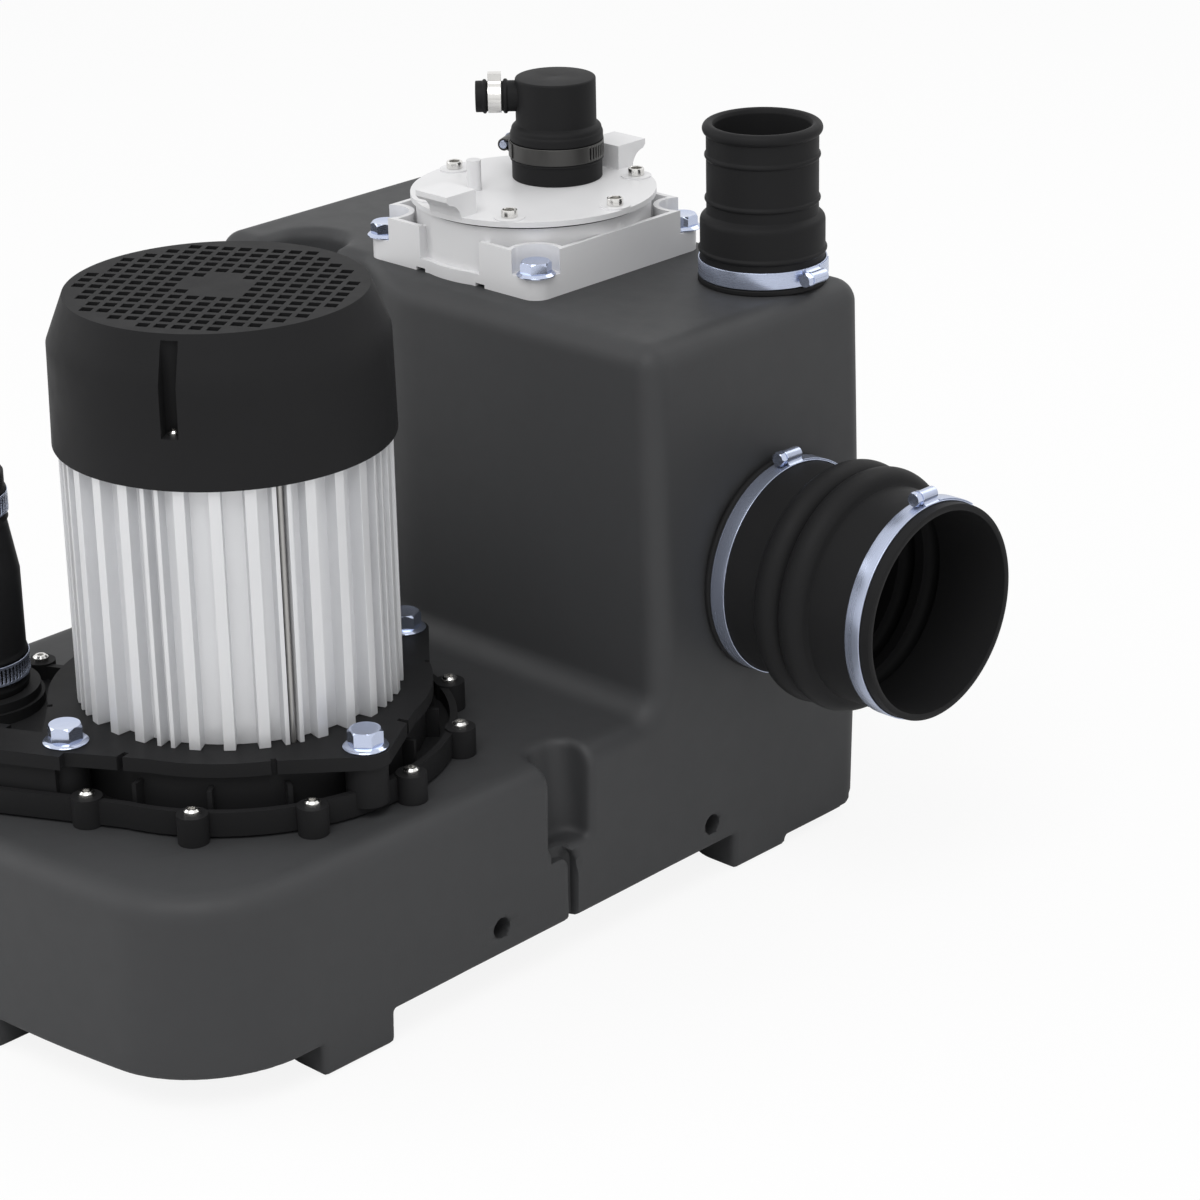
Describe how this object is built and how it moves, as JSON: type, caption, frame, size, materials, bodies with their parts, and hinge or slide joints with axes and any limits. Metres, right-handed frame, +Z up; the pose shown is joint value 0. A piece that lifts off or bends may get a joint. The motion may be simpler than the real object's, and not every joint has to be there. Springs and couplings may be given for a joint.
{
  "type": "macerator toilet pump",
  "caption": "Floor-standing waste pump: moulded tank with rubber-sleeved inlets, finned vertical motor on a low deck, hose discharge with flap valve, and a bolted inspection cover.",
  "frame": {"origin": "bottom centre of the object's box, on the floor", "axes": "+Z up, +Y towards the tall rear block, +X towards the side inlet"},
  "size_m": [0.4588, 0.506, 0.4139],
  "materials": {
    "tank_plastic": "moulded, matt",
    "black_plastic": "moulded, satin",
    "white_plastic": "moulded, satin",
    "black_rubber": "smooth, satin",
    "housing_aluminium": "extruded, pale satin",
    "zinc_steel": "zinc plated, bluish",
    "bright_steel": "bright stainless",
    "machined_steel": "turned and ground",
    "laminated_steel": "stacked sheets",
    "copper_wire": "varnished winding",
    "cast_metal": "cast, grey",
    "dark_band": "dark coated steel"
  },
  "bodies": {
    "pump_unit": {"tank": "tank_plastic", "pump_flange": "black_plastic", "flange_gasket": "black_rubber", "flange_screws": "bright_steel", "motor_flange": "black_plastic", "motor_bolts": "zinc_steel", "motor_housing": "housing_aluminium", "tie_rods": "machined_steel", "stator_core": "laminated_steel", "stator_windings": "copper_wire", "upper_end_shield": "housing_aluminium", "upper_bearing": "machined_steel", "lower_bearing": "machined_steel", "shaft_seal": "black_rubber", "fan_cap": "black_plastic", "cap_screws": "bright_steel", "pump_volute": "black_plastic", "cutter_ring": "machined_steel", "check_valve_body": "black_plastic", "flap_pin": "bright_steel", "discharge_hose": "black_rubber", "discharge_clamp_lower": "zinc_steel", "discharge_clamp_upper": "zinc_steel", "cover_base": "white_plastic", "cover_gasket": "black_rubber", "cover_bolts": "zinc_steel", "lid": "white_plastic", "lid_seal": "black_rubber", "lid_screws": "bright_steel", "dip_tube": "white_plastic", "sensing_cap": "black_rubber", "sensing_cap_clamp": "dark_band", "hose_clip": "bright_steel", "side_sleeve": "black_rubber", "side_clamp_inner": "zinc_steel", "side_clamp_outer": "zinc_steel", "top_sleeve": "black_rubber", "top_clamp": "zinc_steel", "clamp_screws": "zinc_steel"},
    "rotor": {"rotor_shaft": "machined_steel", "rotor_core": "laminated_steel", "cooling_fan": "black_plastic", "impeller": "cast_metal", "cutter_blade": "machined_steel", "impeller_nut": "machined_steel"},
    "flap": {"valve_flap": "black_rubber"}
  },
  "joints": [
    {"name": "rotor_spin", "type": "hinge", "parent": "pump_unit", "child": "rotor", "pos_m": [-0.02386, -0.086, 0.2], "axis": [0, 0, 1], "continuous": true},
    {"name": "flap_swing", "type": "hinge", "parent": "pump_unit", "child": "flap", "pos_m": [-0.17614, -0.16045, 0.137], "axis": [0.4384, -0.8988, 0], "range_deg": [0, 60]}
  ]
}
